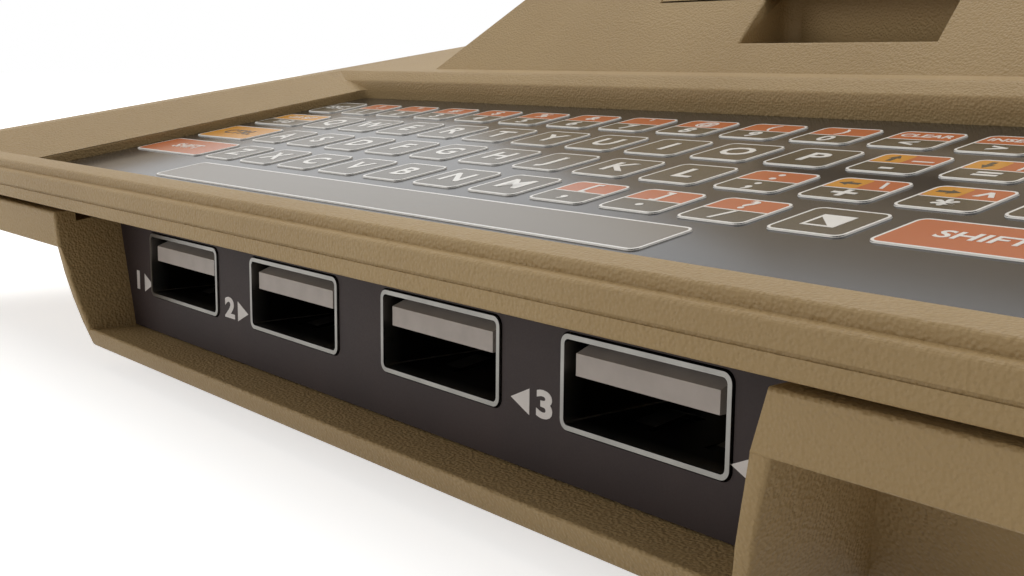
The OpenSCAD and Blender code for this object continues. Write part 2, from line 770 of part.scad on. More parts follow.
module cartridge_bay() color("#3A3430") {
  half = door_w / 2 - 1.2;
  difference() {
    union() {
      intersection() {
        block([-half - 3.4, half + 3.4], [-3.4, 47.2], [bay_floor, body_h - wall - 0.1]);
        hump(wall + 0.05);
      }
      bay_screw_places() translate([0, 0, bay_ear - 1.8]) cylinder(d = 5, h = 1.8);
      for (x = [-1, 1], y = bay_screw_y) block(x > 0 ? [half, 35] : [-35, -half], [y - 2.4, y + 0.9], [bay_ear - 1.8, bay_ear]);
    }
    block([-half, half], [-1.2, 44.8], [bay_floor + 1.6, body_h]);
    bay_screw_places() translate([0, 0, 30]) cylinder(d = 2.2, h = 12);
  }
}

// ---------- feet and fasteners ----------
module foot(x, y) color("#2A2826") {
  translate([x, y, 0]) rotate_extrude()
    polygon([[0, 0], [3.6, 0], [4.5, 0.9], [4.5, 2.35], [0, 2.35]]);
}

// Screw with its head's top at the origin, pointing down
module screw(head_d, head_h, shank_d, length) {
  difference() {
    translate([0, 0, -head_h]) cylinder(d = head_d, h = head_h);
    for (a = [0, 90]) rotate([0, 0, a]) translate([-head_d * 0.32, -0.25, -head_h * 0.5]) cube([head_d * 0.64, 0.5, head_h]);
  }
  translate([0, 0, -length]) cylinder(d = shank_d, h = length - head_h + 0.01);
}

module case_screws() color(steel_color) {
  for (x = [-1, 1], y = case_screw_y) in_rim() translate([x * case_screw_x, y, -band_bottom])
    rotate([180, 0, 0]) screw(4, screw_head, 1.66, 4.8);
}

module board_screws() color(steel_color) {
  for (p = board_feet) translate([p[0], p[1], main_top + 1]) screw(3.6, 1, 1.66, 6);
  for (p = front_feet) translate([p[0], p[1], front_board_z + board_t + 1]) screw(3.6, 1, 1.66, 4.4);
}

module keyboard_screws() color(steel_color) {
  keyboard_screw_places() translate([0, 0, -overlay_t - backing_t - 0.6]) rotate([180, 0, 0])
    screw(2.2, 0.6, 1.06, 3.4);
}

module bay_screws() color(steel_color) {
  bay_screw_places() translate([0, 0, bay_ear - 2.8]) rotate([180, 0, 0]) screw(3.6, 1, 1.66, 6);
}

upper_shell();
lower_shell();
keyboard_overlay();
keyboard_backing();
jack_label();
color(steel_color) at_jack(1) usb_shell(2.4);  // usb_shell_1
color(steel_color) at_jack(2) usb_shell(2.4);  // usb_shell_2
color(steel_color) at_jack(3) usb_shell(2.4);  // usb_shell_3
color(steel_color) at_jack(4) usb_shell(2.4);  // usb_shell_4
color(tongue_color) at_jack(1) usb_tongue();  // usb_tongue_1
color(tongue_color) at_jack(2) usb_tongue();  // usb_tongue_2
color(tongue_color) at_jack(3) usb_tongue();  // usb_tongue_3
color(tongue_color) at_jack(4) usb_tongue();  // usb_tongue_4
color("#B8923C") at_jack(1) usb_contacts(2);  // usb_contacts_1
color("#B8923C") at_jack(2) usb_contacts(2);  // usb_contacts_2
color("#B8923C") at_jack(3) usb_contacts(2);  // usb_contacts_3
color("#B8923C") at_jack(4) usb_contacts(2);  // usb_contacts_4
front_board();
main_board();
processor();
memory_chip();
heat_sink();
hdmi_shell();
hdmi_tongue();
usb_c_shell();
usb_c_tongue();
color(steel_color) at_rear_usb() usb_shell(2.2);  // rear_usb_shell
color(tongue_color) at_rear_usb() usb_tongue();  // rear_usb_tongue
color("#B8923C") at_rear_usb() usb_contacts(2);  // rear_usb_contacts
power_button();
switch_plunger();
switch_body();
status_led();
light_pipe();
ribbon_cable();
color(black_color) ribbon_socket(0, -49.5, -46, front_board_z + board_t, [-48.3, -45]);  // ribbon_socket_front
color(black_color) ribbon_socket(0, 24.4, 27.6, main_top, [23, 26.3]);  // ribbon_socket_rear
cartridge_door();
hinge_pin();
cartridge_bay();
foot(-feet_x, feet_y[0]);  // foot_front_left
foot(feet_x, feet_y[0]);  // foot_front_right
foot(-feet_x, feet_y[1]);  // foot_rear_left
foot(feet_x, feet_y[1]);  // foot_rear_right
case_screws();
board_screws();
keyboard_screws();
bay_screws();
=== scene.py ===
"""Half-size wedge home computer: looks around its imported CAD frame."""
from math import cos, radians, sin

import bpy
from mathutils import Matrix, Vector


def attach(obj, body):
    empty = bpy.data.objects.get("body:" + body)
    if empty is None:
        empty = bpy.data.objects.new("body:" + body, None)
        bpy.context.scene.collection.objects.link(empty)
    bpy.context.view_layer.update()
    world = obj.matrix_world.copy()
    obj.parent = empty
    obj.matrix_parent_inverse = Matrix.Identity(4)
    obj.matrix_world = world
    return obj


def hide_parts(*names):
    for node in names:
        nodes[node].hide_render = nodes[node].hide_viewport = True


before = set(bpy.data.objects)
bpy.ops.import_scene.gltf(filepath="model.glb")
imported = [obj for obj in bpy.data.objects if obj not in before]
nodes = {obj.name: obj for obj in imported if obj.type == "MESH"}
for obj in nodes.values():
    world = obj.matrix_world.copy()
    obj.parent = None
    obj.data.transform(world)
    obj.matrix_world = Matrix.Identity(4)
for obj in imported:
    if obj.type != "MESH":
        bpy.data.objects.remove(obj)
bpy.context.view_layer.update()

MM = 0.001

# ---------------------------------------------------------------------------------------------
# Studio: a pale sweep of floor, a white room and two soft lamps. The camera stands 4 cm in
# front of the right front corner and looks along the front towards the far left.


def linear(text):
    """The linear colour of an sRGB hex value such as #A08A62."""
    values = []
    for i in (1, 3, 5):
        c = int(text[i:i + 2], 16) / 255
        values.append(c / 12.92 if c <= 0.04045 else ((c + 0.055) / 1.055) ** 2.4)
    return (*values, 1.0)


def add_node(tree, kind, settings=None, links=None, stops=()):
    """A shader node with its attributes and sockets set.

    links maps an input to another node's output; stops are a colour ramp's places and colours.
    """
    node = tree.nodes.new(kind)
    for name, value in (settings or {}).items():
        if isinstance(name, str) and hasattr(node, name):
            setattr(node, name, value)
        else:
            node.inputs[name].default_value = value
    for name, (source, output) in (links or {}).items():
        tree.links.new(source.outputs[output], node.inputs[name])
    for i, (at, colour) in enumerate(stops):
        stop = node.color_ramp.elements[i]
        stop.position, stop.color = at, linear(colour)
    return node


def new_material(name):
    """A material with an empty node tree, and that tree."""
    material = bpy.data.materials.new(name)
    material.use_nodes = True
    material.node_tree.nodes.clear()
    return material, material.node_tree


def seen_as_white(tree):
    """1 for rays from the camera and for rays that left glossy or clear surfaces, else 0."""
    path = add_node(tree, "ShaderNodeLightPath")
    first = add_node(tree, "ShaderNodeMath", {"operation": "MAXIMUM"},
                     {0: (path, "Is Camera Ray"), 1: (path, "Is Glossy Ray")})
    return add_node(tree, "ShaderNodeMath", {"operation": "MAXIMUM"},
                    {0: (first, 0), 1: (path, "Is Transmission Ray")})


pure_white = linear("#FFFFFF")
room = bpy.data.worlds.new("white_room")
bpy.context.scene.world = room
room.use_nodes = True
room_tree = room.node_tree
room_tree.nodes.clear()
seen = seen_as_white(room_tree)
ambient = add_node(room_tree, "ShaderNodeBackground", {"Color": pure_white, "Strength": 0.27})
white = add_node(room_tree, "ShaderNodeBackground", {"Color": pure_white, "Strength": 1.0})
mixed = add_node(room_tree, "ShaderNodeMixShader", None, {0: (seen, 0), 1: (ambient, 0), 2: (white, 0)})
add_node(room_tree, "ShaderNodeOutputWorld", None, {0: (mixed, 0)})

bpy.ops.object.select_all(action="DESELECT")
bpy.ops.mesh.primitive_plane_add(size=6)
floor = bpy.context.object
floor.name = "studio_floor"
paper, tree = new_material("matt_white_paper")
# Matt paper: a plain diffuse white; a touch of light that only the camera and reflections see lifts
# it to the photo's white, more of it far off, where the lamps no longer reach
seen = seen_as_white(tree)
spot = add_node(tree, "ShaderNodeTexCoord")
away = add_node(tree, "ShaderNodeVectorMath", {"operation": "LENGTH"}, {0: (spot, "Object")})
fill = add_node(tree, "ShaderNodeMapRange",
                {"From Min": 0.12, "From Max": 0.8, "To Min": 0.62, "To Max": 1.0}, {0: (away, "Value")})
sheet = add_node(tree, "ShaderNodeBsdfDiffuse", {"Color": linear("#F4F3F1"), "Roughness": 0.6})
lift = add_node(tree, "ShaderNodeEmission", {"Color": pure_white}, {"Strength": (fill, 0)})
both = add_node(tree, "ShaderNodeAddShader", None, {0: (sheet, 0), 1: (lift, 0)})
shown = add_node(tree, "ShaderNodeMixShader", None, {0: (seen, 0), 1: (sheet, 0), 2: (both, 0)})
add_node(tree, "ShaderNodeOutputMaterial", None, {0: (shown, 0)})
floor.data.materials.append(paper)


def soft_lamp(name, place, aim, size, watts, colour):
    """A rectangular soft box at place, facing aim."""
    lamp = bpy.data.lights.new(name, "AREA")
    lamp.shape = "RECTANGLE"
    lamp.size, lamp.size_y = size
    lamp.energy = watts
    lamp.color = linear(colour)[:3]
    holder = bpy.data.objects.new(name, lamp)
    holder.location = place
    holder.rotation_euler = (Vector(aim) - Vector(place)).to_track_quat("-Z", "Y").to_euler()
    bpy.context.scene.collection.objects.link(holder)


soft_lamp("lamp_above", (-0.15, 0.15, 0.75), (0, 0, 0), (0.9, 0.9), 4.3, "#FFFEFC")
soft_lamp("lamp_front", (-0.50, -0.75, 0.32), (0, -0.05, 0.02), (0.6, 0.5), 1.8, "#FFFDFB")

# The lens and its place are those that fit the jacks, the lip and the keyboard's edges in the photo
lens = bpy.data.cameras.new("photo_camera")
lens.sensor_width = 36
lens.lens = 47.10
lens.clip_start = 0.005
lens.clip_end = 20
camera = bpy.data.objects.new("photo_camera", lens)
camera.location = (78.98 * MM, -116.318 * MM, 27.986 * MM)
camera.rotation_euler = (radians(80.594), radians(-0.512), radians(51.140))
bpy.context.scene.collection.objects.link(camera)
bpy.context.scene.camera = camera
bpy.context.scene.view_settings.view_transform = "Standard"

# ---------------------------------------------------------------------------------------------
# Case: upper and lower shells, door and button cap, injection-moulded ABS in one tan colour.
# The mould is spark-eroded, so the skin has a fine leather grain that dulls its shine.


def surface(name, base, rough, metallic=0.0):
    """A material with a principled shader; returns it, its tree and the shader."""
    material, tree = new_material(name)
    shader = add_node(tree, "ShaderNodeBsdfPrincipled",
                      {"Base Color": linear(base), "Roughness": rough, "Metallic": metallic, "IOR": 1.5})
    add_node(tree, "ShaderNodeOutputMaterial", None, {0: (shader, 0)})
    material.diffuse_color = linear(base)
    return material, tree, shader


def grained(name, first, second, rough, blotch, grain, depth, metallic=0.0, along=(1, 1, 1)):
    """Two tones drifting over blotch mm, and a tooth of grain mm, depth mm deep; along stretches both."""
    material, tree, shader = surface(name, first, rough, metallic)
    place = add_node(tree, "ShaderNodeTexCoord")
    drawn = add_node(tree, "ShaderNodeMapping", {"Scale": along}, {"Vector": (place, "Object")})
    drift = add_node(tree, "ShaderNodeTexNoise", {"Scale": 1 / (blotch * MM), "Detail": 3.0},
                     {"Vector": (drawn, 0)})
    shade = add_node(tree, "ShaderNodeValToRGB", None, {0: (drift, 0)}, ((0.3, first), (0.7, second)))
    tree.links.new(shade.outputs[0], shader.inputs["Base Color"])
    tooth = add_node(tree, "ShaderNodeTexNoise", {"Scale": 1 / (grain * MM), "Detail": 2.0},
                     {"Vector": (drawn, 0)})
    relief = add_node(tree, "ShaderNodeBump", {"Strength": 0.6, "Distance": depth * MM},
                      {"Height": (tooth, 0)})
    tree.links.new(relief.outputs[0], shader.inputs["Normal"])
    dull_and_painted_shade = add_node(tree, "ShaderNodeMapRange", {"To Min": 0.8 * rough, "To Max": 1.2 * rough},
                    {0: (tooth, 0)})
    tree.links.new(dull_and_painted_shade.outputs[0], shader.inputs["Roughness"])
    return material, tree, shader


def finish_with(piece, material):
    """The piece takes one material all over."""
    piece.data.materials.clear()
    piece.data.materials.append(material)


# Moulded ABS, spark-eroded grain: 4.3 pebbles to the millimetre with a finer tooth between them,
# and a slow drift of shade, as pigment gives; a broad soft sheen, never a clear reflection
case_abs, tree, shader = surface("moulded_abs_tan", "#A0875B", 0.52)
place = add_node(tree, "ShaderNodeTexCoord")
drift = add_node(tree, "ShaderNodeTexNoise", {"Scale": 0.038 / MM, "Detail": 3.0, "Roughness": 0.55},
                 {"Vector": (place, "Object")})
shade = add_node(tree, "ShaderNodeValToRGB", None, {0: (drift, 0)}, ((0.3, "#9B8157"), (0.7, "#A68C61")))
tree.links.new(shade.outputs[0], shader.inputs["Base Color"])
pebbles = add_node(tree, "ShaderNodeTexVoronoi",
                   {"feature": "SMOOTH_F1", "Scale": 4.3 / MM, "Smoothness": 0.6},
                   {"Vector": (place, "Object")})
tooth = add_node(tree, "ShaderNodeTexNoise", {"Scale": 7.5 / MM, "Detail": 2.0},
                 {"Vector": (place, "Object")})
grain = add_node(tree, "ShaderNodeMath", {"operation": "MULTIPLY_ADD", 1: 0.35},
                 {0: (tooth, 0), 2: (pebbles, 0)})
relief = add_node(tree, "ShaderNodeBump", {"Strength": 0.95, "Distance": 0.075 * MM},
                  {"Height": (grain, 0)})
tree.links.new(relief.outputs[0], shader.inputs["Normal"])
rough = add_node(tree, "ShaderNodeMapRange", {"To Min": 0.46, "To Max": 0.60}, {0: (grain, 0)})
tree.links.new(rough.outputs[0], shader.inputs["Roughness"])
shader.inputs["Specular IOR Level"].default_value = 0.35

WELD = 0.002 * MM  # corners nearer than this are one corner
FLAT = radians(0.6)  # faces that turn less than this are one face
SHARP = radians(22)  # edges that turn more than this can be rounded
SMOOTH = radians(14)  # edges that turn less than this are shaded smooth
CLEARANCE = 0.05 * MM  # how far off its edge a ray starts
REACH = 200 * MM  # how far a ray looks: further than the machine is wide


def is_open(start, way):
    """True when a ray leaves the machine: nothing but the floor stands in its way."""
    struck = bpy.context.scene.ray_cast(bpy.context.evaluated_depsgraph_get(), start, way, distance=REACH)
    return not struck[0] or struck[4].name == floor.name


def softened(name, node, width, spare=None):
    """A copy of a moulded node with its outer edges rounded off, as the mould leaves them.

    An edge is rounded when it is convex and open to the outside, and spare doesn't claim it.
    """
    bpy.ops.object.select_all(action="DESELECT")
    casing = nodes[node].copy()
    casing.data = nodes[node].data.copy()
    casing.name = name
    bpy.context.scene.collection.objects.link(casing)
    bpy.context.view_layer.objects.active = casing
    casing.select_set(True)
    bpy.ops.object.mode_set(mode="EDIT")
    bpy.ops.mesh.select_all(action="SELECT")
    bpy.ops.mesh.remove_doubles(threshold=WELD)
    bpy.ops.mesh.dissolve_limited(angle_limit=FLAT)
    bpy.ops.mesh.select_mode(type="EDGE")
    bpy.ops.mesh.select_all(action="DESELECT")
    bpy.ops.mesh.edges_select_sharp(sharpness=SHARP)
    bpy.ops.object.mode_set(mode="OBJECT")
    mesh = casing.data
    beside = {}
    for face in mesh.polygons:
        face.select = False
        corners = list(face.vertices)
        for i, j in zip(corners, corners[1:] + corners[:1]):
            inward = face.normal.cross(mesh.vertices[j].co - mesh.vertices[i].co)
            beside.setdefault((min(i, j), max(i, j)), []).append((face.normal.copy(), inward))
    for edge in mesh.edges:
        if edge.select:
            (a, into_a), (b, _) = beside[edge.key]
            middle = (mesh.vertices[edge.vertices[0]].co + mesh.vertices[edge.vertices[1]].co) / 2
            out = (a + b).normalized()
            start = middle + out * CLEARANCE
            edge.select = (into_a.dot(b) < 0 and is_open(start, out)
                           and (is_open(start, a) or is_open(start, b))
                           and not (spare and spare(middle)))
    for vertex in mesh.vertices:
        vertex.select = False
    bpy.ops.object.mode_set(mode="EDIT")
    bpy.ops.mesh.bevel(offset=width, segments=4, clamp_overlap=False)
    bpy.ops.object.mode_set(mode="OBJECT")
    bpy.ops.object.shade_smooth_by_angle(angle=SMOOTH)
    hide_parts(node)
    return casing


RIM_SLOPE = radians(8.9)
RIM_FRONT, RIM_HEIGHT = -72.25 * MM, 18.48 * MM
GROOVE_TOP, GROOVE_BOTTOM = 1.7 * MM, 2.5 * MM  # below the rim
BOTTOM_HOLES = ((-60, 60), (-54, 62), (-1, 1.7))  # x, y and z in mm
BACK_HOLES = ((-42, 42), (68.5, 74), (5, 18))


def in_groove(point):
    """The lip's fine groove stays crisp: true for points at its depth below the rim."""
    down = (RIM_HEIGHT - point.z) * cos(RIM_SLOPE) + (point.y - RIM_FRONT) * sin(RIM_SLOPE)
    return GROOVE_TOP < down < GROOVE_BOTTOM


def at_small_hole(point):
    """The bottom's and the back's small holes keep their crisp rims."""
    return any(all(low * MM < at < high * MM for at, (low, high) in zip(point, box))
               for box in (BOTTOM_HOLES, BACK_HOLES))


for name, node, body, radius, spare, slot in (
        ("upper_casing", "upper_shell", "case", 0.25, in_groove, "case_plastic"),
        ("lower_casing", "lower_shell", "case", 0.25, at_small_hole, "case_plastic"),
        ("door_lid", "cartridge_door", "cartridge_door", 0.2, None, "case_plastic"),
        ("button_cap", "power_button", "power_button", 0.12, None, "button_plastic")):
    casing = softened(name, node, radius * MM, spare)
    finish_with(casing, case_abs)
    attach(casing, body)

# ---------------------------------------------------------------------------------------------
# Keyboard: one flat polyester overlay, screen-printed and lightly embossed at each key. The ink
# lies on the pads of the CAD overlay: a white ring round each key, its coloured fields, legends.


def lacquered(name, colour, rough=0.2, shine=0.38):
    """A print under velvet lacquer, whose tooth of some 0.2 mm softens what the panel mirrors."""
    material, tree, shader = surface(name, colour, rough)
    shader.inputs["Specular IOR Level"].default_value = shine
    place = add_node(tree, "ShaderNodeTexCoord")
    lacquer = add_node(tree, "ShaderNodeTexNoise", {"Scale": 5.2 / MM, "Detail": 2.0},
                       {"Vector": (place, "Object")})
    relief = add_node(tree, "ShaderNodeBump", {"Strength": 0.06, "Distance": 0.01 * MM},
                      {"Height": (lacquer, 0)})
    tree.links.new(relief.outputs[0], shader.inputs["Normal"])
    return material


# Polyester film, printed near-black: glossy enough to mirror the white room at a low angle
finish_with(nodes["keyboard_overlay"], lacquered("printed_polyester_panel", "#262525", 0.15, 0.5))
# Screen inks: flat opaque colours, a little duller than the bare film
INKS = {
    "white": lacquered("white_screen_ink", "#F5F2EC"),
    "olive": lacquered("olive_screen_ink", "#4E4532"),
    "orange": lacquered("orange_screen_ink", "#C26838"),
    "yellow": lacquered("yellow_screen_ink", "#D9962B"),
    "grey": lacquered("warm_grey_screen_ink", "#736A5C"),
}
INK_ORDER = list(INKS)
PANEL_SLOPE = radians(9.74)
panel = Matrix.Translation((0, -48.045 * MM, 18.428 * MM)) @ Matrix.Rotation(PANEL_SLOPE, 4, "X")
PITCH = 7.871 * MM
FIRST_KEY = -70.205 * MM
KEY_WIDTH, KEY_DEPTH = 6.0 * MM, 5.76 * MM
KEY_CORNER = 0.8 * MM
INK_TOP = 0.12 * MM  # above the panel
LAYER = 0.01 * MM  # of ink
RING = 0.2 * MM
DIVIDER = 0.08 * MM
SKIRT = 0.045 * MM  # how far the ring runs down the pad's side
FIELD_SHARE = 0.2  # a face that takes more of its key than this is a field
SPACE_BAR = (2.4, 11.38)  # from column to column
SPACE_ROW = -0.975
CONSOLE_COLUMN, CONSOLE_WIDTH = 16.4, 1.9
CONSOLE_ROWS = [2.85 - 0.98 * i for i in range(4)]


def key_place(column, row):
    """The middle of a key's pad on the panel."""
    return Vector((FIRST_KEY + column * PITCH, row * PITCH, INK_TOP))


def printed_key(column, row, width, fields):
    """One key's ink: a white ring down the pad's edge, round one or two fields named from the front."""
    bpy.ops.object.select_all(action="DESELECT")
    bpy.ops.mesh.primitive_plane_add(size=1)
    key = bpy.context.object
    for colour in INK_ORDER:
        key.data.materials.append(INKS[colour])
    field_area = FIELD_SHARE * width * KEY_DEPTH
    bpy.ops.object.mode_set(mode="EDIT")
    bpy.ops.transform.resize(value=(width + 2 * SKIRT, KEY_DEPTH + 2 * SKIRT, 1))
    bpy.ops.mesh.bevel(offset=KEY_CORNER, segments=6, affect="VERTICES")
    bpy.ops.mesh.inset(thickness=SKIRT, depth=0)
    bpy.ops.transform.translate(value=(0, 0, INK_TOP - LAYER))
    bpy.ops.mesh.inset(thickness=RING - DIVIDER)
    if len(fields) == 2:
        bpy.ops.mesh.bisect(plane_co=(0, 0, 0), plane_no=(0, 1, 0))
        bpy.ops.object.mode_set(mode="OBJECT")
        for face in key.data.polygons:
            face.select = face.area > field_area
        bpy.ops.object.mode_set(mode="EDIT")
    bpy.ops.mesh.inset(thickness=DIVIDER, use_individual=True)
    bpy.ops.object.mode_set(mode="OBJECT")
    for face in key.data.polygons:
        if face.area > field_area:
            side = 1 if len(fields) == 2 and face.center.y > 0 else 0
            face.material_index = INK_ORDER.index(fields[side])
    key.data.transform(Matrix.Translation(key_place(column, row) + Vector((0, 0, LAYER - INK_TOP))))
    return key


def wide_key(left, right, row, fields):
    """A key from the left edge of one column's key to the right edge of another's."""
    width = (right - left) * PITCH + KEY_WIDTH
    return printed_key((left + right) / 2, row, width, fields)


def joined(pieces, name):
    """All the pieces as one object."""
    bpy.ops.object.select_all(action="DESELECT")
    for piece in pieces:
        piece.select_set(True)
    bpy.context.view_layer.objects.active = pieces[0]
    bpy.ops.object.join()
    whole = bpy.context.object
    whole.name = name
    return whole


split = ("olive", "orange")
plain = ("olive",)
inked = [printed_key(0, 3, KEY_WIDTH, plain)]
inked += [printed_key(k, 3, KEY_WIDTH, split) for k in range(1, 14)]
inked += [printed_key(14, 3, KEY_WIDTH, plain)]
inked += [wide_key(0, 0.5, 2, ("olive", "yellow"))]
inked += [printed_key(k + 1.5, 2, KEY_WIDTH, plain) for k in range(10)]
inked += [printed_key(k + 11.5, 2, KEY_WIDTH, split) for k in range(2)]
inked += [wide_key(13.5, 14, 2, plain)]
inked += [wide_key(0, 0.75, 1, ("yellow",))]
inked += [printed_key(k + 1.75, 1, KEY_WIDTH, plain) for k in range(9)]
inked += [printed_key(k + 10.75, 1, KEY_WIDTH, split) for k in range(3)]
inked += [wide_key(13.75, 14, 1, plain)]
inked += [wide_key(0, 1.25, 0, ("orange",))]
inked += [printed_key(k + 2.25, 0, KEY_WIDTH, plain) for k in range(7)]
inked += [printed_key(k + 9.25, 0, KEY_WIDTH, split) for k in range(3)]
inked += [printed_key(12.25, 0, KEY_WIDTH, plain), wide_key(13.25, 14, 0, ("orange",))]
inked += [printed_key(sum(SPACE_BAR) / 2, SPACE_ROW, (SPACE_BAR[1] - SPACE_BAR[0]) * PITCH, ("grey",))]
inked += [printed_key(CONSOLE_COLUMN, row, CONSOLE_WIDTH * PITCH, (colour,))
          for row, colour in zip(CONSOLE_ROWS, ("yellow", "olive", "olive", "olive"))]

# The rings and fields of all keys are one print, a thin layer that follows the panel's slope
key_print = joined(inked, "key_print")
layer = key_print.modifiers.new("ink_layer", "SOLIDIFY")
layer.thickness = LAYER
bpy.ops.object.modifier_apply(modifier="ink_layer")
key_print.data.transform(panel)
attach(key_print, "case")

STRETCH = 1.16  # how much wider the legends are than the plain letter shapes
BOLD = 0.02  # how much fatter, as a part of their size
LEGEND_LIFT = 0.012 * MM


def legend(text, column, row, size, dx=0.0, dy=0.0, colour="white"):
    """A printed legend centred on a key, dx and dy millimetres off its middle."""
    bpy.ops.object.select_all(action="DESELECT")
    bpy.ops.object.text_add()
    words = bpy.context.object
    words.data.body = text
    words.data.size = size * MM
    words.data.align_x, words.data.align_y = "CENTER", "CENTER"
    words.data.resolution_u = 3
    words.data.extrude = 0.008 * MM
    words.data.offset = BOLD * size * MM
    words.data.materials.append(INKS[colour])
    bpy.ops.object.convert(target="MESH")
    lift = Matrix.Translation(key_place(column, row) + Vector((dx * MM, dy * MM, LEGEND_LIFT)))
    words.data.transform(lift @ Matrix.Diagonal((STRETCH, 1, 1, 1)))
    return words


printed = [legend(t, k, 3, 2.5, dy=-1.4) for k, t in enumerate("1234567890<>", 1)]
printed += [legend(t, k, 3, 2.1, dy=1.4) for k, t in enumerate("!\"#$%&'@()", 1)]
printed += [legend("CLEAR", 11, 3, 1.4, dy=1.35), legend("INSERT", 12, 3, 1.3, dy=1.35),
            legend("DEL", 13, 3, 1.5, dy=1.35), legend("BACK S", 13, 3, 1.3, dy=-1.35),
            legend("ESC", 0, 3, 2.1), legend("BREAK", 14, 3, 1.5)]
printed += [legend(t, k + 1.5, 2, 3.6) for k, t in enumerate("QWERTYUIOP")]
printed += [legend("TAB", 0.25, 2, 1.9, dy=-1.35), legend("CLR SET", 0.25, 2, 1.4, dy=1.35),
            legend("-", 11.5, 2, 3.4, dy=-1.35), legend("=", 12.5, 2, 3.2, dy=-1.35),
            legend("_", 11.5, 2, 2.8, dx=1.4, dy=2.0), legend("|", 12.5, 2, 1.9, dx=1.4, dy=1.35),
            legend("RETURN", 13.75, 2, 1.9)]
printed += [legend(t, k + 1.75, 1, 3.6) for k, t in enumerate("ASDFGHJKL")]
printed += [legend("CTRL", 0.375, 1, 2.4, colour="olive"), legend(";", 10.75, 1, 3.2, dy=-1.2),
            legend(":", 10.75, 1, 3.2, dy=1.5), legend("+", 11.75, 1, 3.4, dy=-1.35),
            legend("*", 12.75, 1, 3.4, dy=-1.9), legend("\\", 11.75, 1, 2.2, dx=1.4, dy=1.35),
            legend("^", 12.75, 1, 2.8, dx=1.4, dy=0.9), legend("CAPS", 13.875, 1, 1.8, dy=1.2),
            legend("LOWR", 13.875, 1, 1.8, dy=-1.2)]
printed += [legend(t, k + 2.25, 0, 3.6) for k, t in enumerate("ZXCVBNM")]
printed += [legend("SHIFT", 0.625, 0, 2.1), legend("SHIFT", 13.625, 0, 2.1),
            legend(",", 9.25, 0, 3.4, dy=-0.7), legend("[", 9.25, 0, 2.5, dy=1.35),
            legend(".", 10.25, 0, 3.6, dy=-0.4), legend("]", 10.25, 0, 2.5, dy=1.35),
            legend("/", 11.25, 0, 2.8, dy=-1.35), legend("?", 11.25, 0, 2.8, dy=1.35)]
printed += [legend(text, CONSOLE_COLUMN, row, 2.2, colour=colour) for row, text, colour in zip(
    CONSOLE_ROWS, ("RESET", "OPTION", "SELECT", "START"), ("olive", "white", "white", "white"))]

PATCH_WIDTH, PATCH_DEPTH, PATCH_CORNER = 2.65 * MM, 2.5 * MM, 0.4 * MM
ARROW_HEAD, SHAFT_WIDTH, SHAFT_LENGTH, ARROW_DEPTH = 0.62 * MM, 0.5 * MM, 1.1 * MM, 0.016 * MM
UPPER_LEFT = Vector((-1.42 * MM, 1.35 * MM, 0.002 * MM))  # of a key, from its middle


def arrow_mark(column, row, turn):
    """A yellow patch over the left half of a key's upper field, with a dark cursor arrow on it."""
    bpy.ops.object.select_all(action="DESELECT")
    bpy.ops.mesh.primitive_plane_add(size=1)
    patch = bpy.context.object
    bpy.ops.object.mode_set(mode="EDIT")
    bpy.ops.transform.resize(value=(PATCH_WIDTH, PATCH_DEPTH, 1))
    bpy.ops.mesh.bevel(offset=PATCH_CORNER, segments=4, affect="VERTICES")
    bpy.ops.object.mode_set(mode="OBJECT")
    patch.data.materials.append(INKS["yellow"])
    patch.data.transform(Matrix.Translation((0, 0, 0.004 * MM)))
    bpy.ops.object.select_all(action="DESELECT")
    bpy.ops.mesh.primitive_cylinder_add(vertices=3, radius=ARROW_HEAD, depth=ARROW_DEPTH)
    arrow = bpy.context.object
    bpy.ops.object.mode_set(mode="EDIT")
    bpy.ops.transform.translate(value=(0, 0.35 * MM, 0))
    bpy.ops.mesh.primitive_cube_add(size=1)
    bpy.ops.transform.resize(value=(SHAFT_WIDTH, SHAFT_LENGTH, ARROW_DEPTH))
    bpy.ops.transform.translate(value=(0, -0.3 * MM, 0))
    bpy.ops.object.mode_set(mode="OBJECT")
    arrow.data.materials.append(INKS["olive"])
    arrow.data.transform(Matrix.Rotation(radians(turn), 4, "Z"))
    patch.select_set(True)
    bpy.ops.object.join()
    arrow.data.transform(Matrix.Translation(key_place(column, row) + UPPER_LEFT))
    return arrow


printed += [arrow_mark(11.5, 2, 0), arrow_mark(12.5, 2, 180), arrow_mark(11.75, 1, 90),
            arrow_mark(12.75, 1, -90)]


def half_filled_square(column, row):
    """A plain mark: a square, ringed, with one half filled."""
    bpy.ops.object.select_all(action="DESELECT")
    bpy.ops.mesh.primitive_plane_add(size=2.6 * MM)
    mark = bpy.context.object
    bpy.ops.object.mode_set(mode="EDIT")
    bpy.ops.mesh.bisect(plane_co=(0, 0, 0), plane_no=(1, 1, 0))
    bpy.ops.mesh.select_all(action="SELECT")
    bpy.ops.mesh.inset(thickness=0.26 * MM, use_individual=True)
    bpy.ops.object.mode_set(mode="OBJECT")
    mark.data.materials.append(INKS["white"])
    mark.data.materials.append(INKS["olive"])
    for face in mark.data.polygons:
        if face.area > 0.5 * MM * MM and face.center.x + face.center.y < 0 and len(face.vertices) == 3:
            face.material_index = 1
    layer = mark.modifiers.new("ink_layer", "SOLIDIFY")
    layer.thickness = 0.012 * MM
    bpy.ops.object.modifier_apply(modifier="ink_layer")
    mark.data.transform(Matrix.Translation(key_place(column, row) + Vector((0, 0, 0.016 * MM))))
    return mark


printed.append(half_filled_square(12.25, 0))
key_legends = joined(printed, "key_legends")
key_legends.data.transform(panel)
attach(key_legends, "case")

# ---------------------------------------------------------------------------------------------
# Jack label: dark printed film on its plate behind the recess, with a light number and arrowhead
# beside each jack. The marks are screen ink, a hair above the film.

